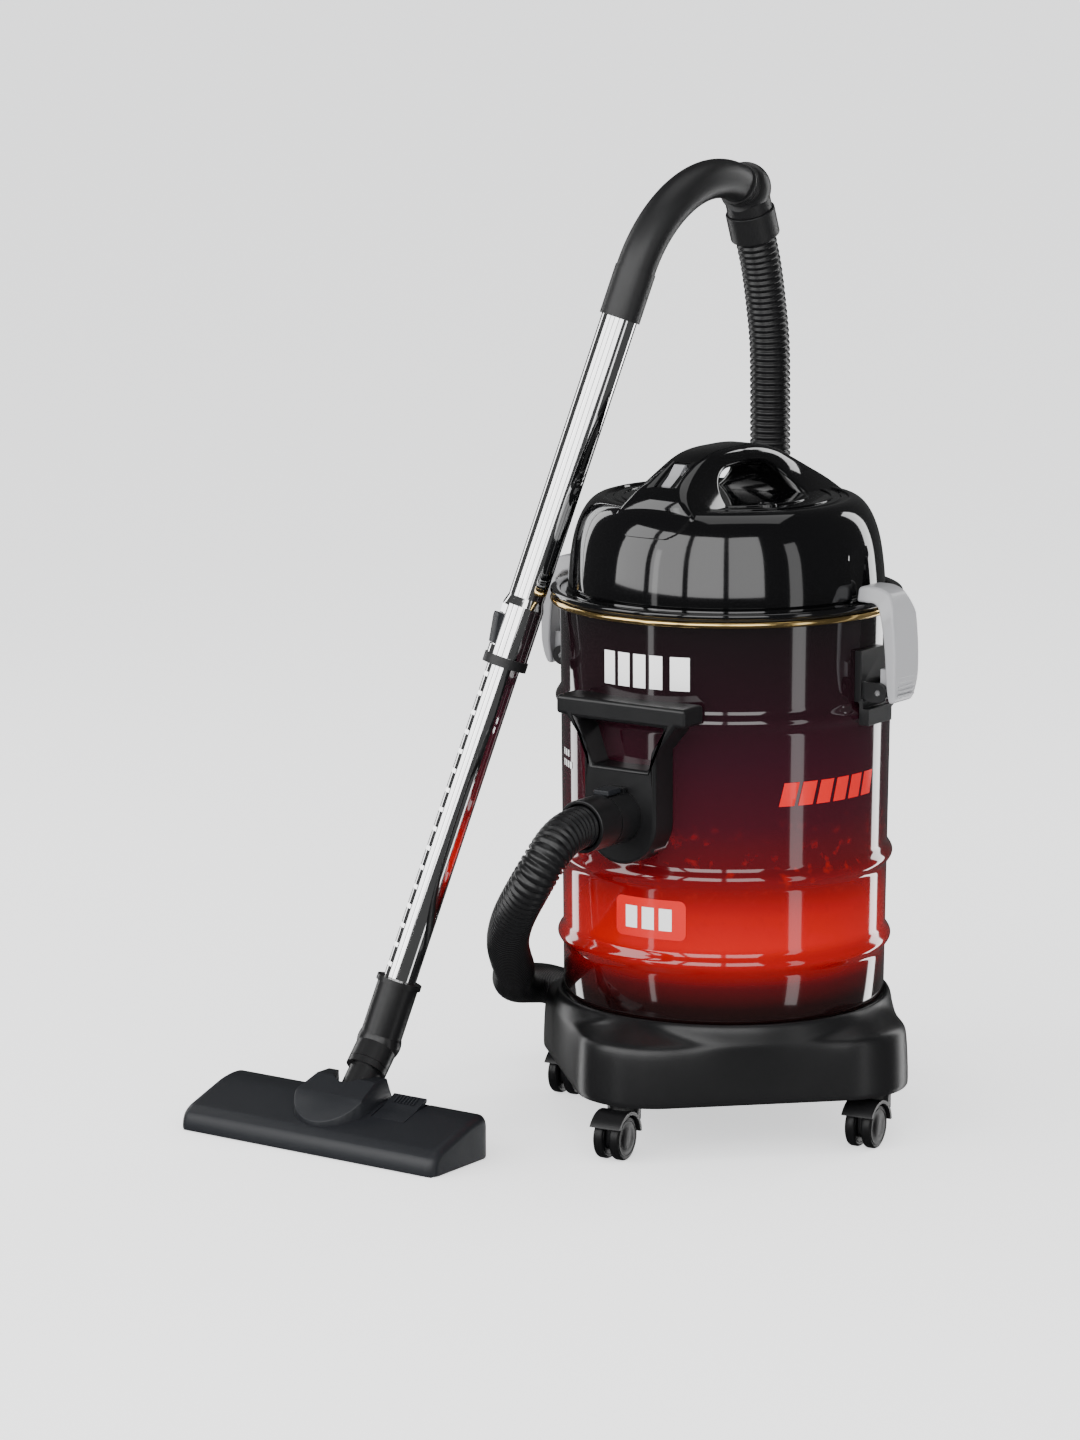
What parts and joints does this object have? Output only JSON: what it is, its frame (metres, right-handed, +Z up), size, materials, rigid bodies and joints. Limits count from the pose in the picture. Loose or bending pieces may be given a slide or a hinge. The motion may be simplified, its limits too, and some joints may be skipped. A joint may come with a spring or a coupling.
{
  "type": "shop vacuum",
  "caption": "Drum vacuum on a wheeled base with a domed motor head, over-rim latches, corrugated hose, telescopic wand and floor nozzle.",
  "frame": {"origin": "on the floor, under the axis of the drum", "axes": "+Z up along the drum axis, -Y out of the hose inlet at the front, latches at +X and -X"},
  "size_m": [0.5661, 0.5849, 0.8682],
  "materials": {
    "satin_black": "satin moulded plastic",
    "gloss_black": "polished moulded plastic",
    "matt_black": "matt moulded plastic",
    "wheel_black": "hard wheel plastic",
    "red_lacquer": "clear lacquer over red",
    "gold_band": "gold lacquer",
    "seal_rubber": "soft rubber",
    "bright_steel": "bright",
    "chrome_tube": "chromed",
    "grey_latch": "light grey plastic",
    "slate_plastic": "fine grained",
    "hose_black": "corrugated",
    "filter_cloth": "felted",
    "filter_foam": "open foam",
    "bristle": "bristles"
  },
  "bodies": {
    "root": {"base_plinth": "satin_black", "base_screws": "bright_steel", "drum": "red_lacquer", "rim_band": "gold_band", "inlet_bracket": "satin_black", "inlet_gasket": "seal_rubber", "inlet_port": "satin_black", "inlet_screws": "bright_steel", "latch_bracket_right": "satin_black", "latch_bracket_left": "satin_black", "latch_pins": "bright_steel", "head_flange": "gloss_black", "head_gasket": "seal_rubber", "head_cover": "gloss_black", "head_handle": "gloss_black", "handle_screws": "bright_steel", "switch_bezel": "satin_black", "exhaust_grille": "satin_black", "cord_gland": "matt_black", "motor_body": "satin_black", "fan_housing": "bright_steel", "motor_seal": "seal_rubber", "filter_cage": "satin_black", "filter_bag": "filter_cloth", "foam_filter": "filter_foam", "hose_connector": "satin_black", "hose": "hose_black"},
    "latch_right": {"latch_lever_right": "grey_latch"},
    "latch_left": {"latch_lever_left": "grey_latch"},
    "switch": {"switch_rocker": "grey_latch"},
    "rotor": {"motor_rotor": "bright_steel"},
    "release_button": {"connector_button": "slate_plastic"},
    "lower_cuff": {"hose_cuff_lower": "satin_black"},
    "wand": {"upper_tube": "chrome_tube", "lock_collar": "matt_black", "grip_sleeve": "matt_black", "handle_grip": "matt_black", "grip_collar": "matt_black", "hose_elbow": "matt_black"},
    "upper_cuff": {"hose_cuff_upper": "matt_black"},
    "lock": {"lock_button": "slate_plastic"},
    "lower_wand": {"lower_tube": "chrome_tube", "guide_bush": "matt_black", "neck_socket": "satin_black"},
    "neck": {"neck_pivot": "satin_black"},
    "nozzle": {"nozzle_body": "slate_plastic", "nozzle_hood": "slate_plastic", "nozzle_sole": "bright_steel", "sole_screws": "bright_steel"},
    "pedal": {"nozzle_pedal": "slate_plastic"},
    "brush": {"brush_strip": "bristle"},
    "rollers": {"nozzle_rollers": "wheel_black"},
    "caster_right": {"caster_fork_right": "satin_black"},
    "wheels_right": {"caster_wheels_right": "wheel_black"},
    "caster_rear": {"caster_fork_rear": "satin_black"},
    "wheels_rear": {"caster_wheels_rear": "wheel_black"},
    "caster_left": {"caster_fork_left": "satin_black"},
    "wheels_left": {"caster_wheels_left": "wheel_black"},
    "caster_front": {"caster_fork_front": "satin_black"},
    "wheels_front": {"caster_wheels_front": "wheel_black"}
  },
  "joints": [
    {"name": "latch_right_swing", "type": "hinge", "parent": "root", "child": "latch_right", "pos_m": [0.17, 0, 0.414], "axis": [0, 1, 0], "range_deg": [0, 70]},
    {"name": "latch_left_swing", "type": "hinge", "parent": "root", "child": "latch_left", "pos_m": [-0.17, 0, 0.414], "axis": [0, -1, 0], "range_deg": [0, 70]},
    {"name": "switch_rock", "type": "hinge", "parent": "root", "child": "switch", "pos_m": [0, -0.08603, 0.59852], "axis": [1, 0, 0], "range_deg": [-12, 0]},
    {"name": "rotor_spin", "type": "hinge", "parent": "root", "child": "rotor", "pos_m": [0, 0, 0.52], "axis": [0, 0, 1], "continuous": true},
    {"name": "release_press", "type": "slide", "parent": "root", "child": "release_button", "axis": [0, 0, -1], "range_m": [0, 0.002], "stiffness_N_per_m": 300, "springref_m": -0.002},
    {"name": "lower_cuff_turn", "type": "hinge", "parent": "root", "child": "lower_cuff", "pos_m": [0, -0.21, 0.31], "axis": [0, -1, 0], "continuous": true},
    {"name": "wand_lean", "type": "hinge", "parent": "root", "child": "wand", "pos_m": [-0.2336, -0.25829, 0.032], "axis": [1, 0, 0], "range_deg": [0, 12], "deforming": ["hose"]},
    {"name": "upper_cuff_turn", "type": "hinge", "parent": "wand", "child": "upper_cuff", "pos_m": [-0.0654, 0.12824, 0.83835], "axis": [0, 0.3746, -0.9272], "continuous": true},
    {"name": "lock_slide", "type": "slide", "parent": "wand", "child": "lock", "axis": [0.2038, 0.2581, 0.9444], "range_m": [0, 0.006], "stiffness_N_per_m": 300, "springref_m": -0.004},
    {"name": "telescope", "type": "slide", "parent": "wand", "child": "lower_wand", "axis": [0.2038, 0.2581, 0.9444], "range_m": [0, 0.18]},
    {"name": "neck_swivel", "type": "hinge", "parent": "lower_wand", "child": "neck", "pos_m": [-0.2336, -0.21396, 0.07954], "axis": [0, 0.682, 0.7314], "range_deg": [-45, 45]},
    {"name": "nozzle_pitch", "type": "hinge", "parent": "neck", "child": "nozzle", "pos_m": [-0.2336, -0.25829, 0.032], "axis": [1, 0, 0], "range_deg": [-14, 14]},
    {"name": "pedal_rock", "type": "hinge", "parent": "nozzle", "child": "pedal", "pos_m": [-0.1711, -0.26829, 0.031], "axis": [1, 0, 0], "range_deg": [-18, 0]},
    {"name": "brush_lift", "type": "slide", "parent": "nozzle", "child": "brush", "axis": [0, 0, 1], "range_m": [0, 0.004]},
    {"name": "rollers_spin", "type": "hinge", "parent": "nozzle", "child": "rollers", "pos_m": [-0.2336, -0.25029, 0.008], "axis": [1, 0, 0], "continuous": true},
    {"name": "caster_right_swivel", "type": "hinge", "parent": "root", "child": "caster_right", "pos_m": [0.162, 0, 0.06], "axis": [0, 0, 1], "continuous": true},
    {"name": "wheels_right_roll", "type": "hinge", "parent": "caster_right", "child": "wheels_right", "pos_m": [0.16419, -0.01787, 0.02], "axis": [0.9925, 0.1219, 0], "continuous": true},
    {"name": "caster_rear_swivel", "type": "hinge", "parent": "root", "child": "caster_rear", "pos_m": [0, 0.162, 0.06], "axis": [0, 0, 1], "continuous": true},
    {"name": "wheels_rear_roll", "type": "hinge", "parent": "caster_rear", "child": "wheels_rear", "pos_m": [0.00219, 0.14413, 0.02], "axis": [0.9925, 0.1219, 0], "continuous": true},
    {"name": "caster_left_swivel", "type": "hinge", "parent": "root", "child": "caster_left", "pos_m": [-0.162, 0, 0.06], "axis": [0, 0, 1], "continuous": true},
    {"name": "wheels_left_roll", "type": "hinge", "parent": "caster_left", "child": "wheels_left", "pos_m": [-0.15981, -0.01787, 0.02], "axis": [0.9925, 0.1219, 0], "continuous": true},
    {"name": "caster_front_swivel", "type": "hinge", "parent": "root", "child": "caster_front", "pos_m": [0, -0.162, 0.06], "axis": [0, 0, 1], "continuous": true},
    {"name": "wheels_front_roll", "type": "hinge", "parent": "caster_front", "child": "wheels_front", "pos_m": [0.00219, -0.17987, 0.02], "axis": [0.9925, 0.1219, 0], "continuous": true}
  ],
  "couplings": [
    {"joint": "nozzle_pitch", "follows": "wand_lean", "ratio": -1},
    {"joint": "brush_lift", "follows": "pedal_rock", "m_per_rad": -0.0122}
  ]
}
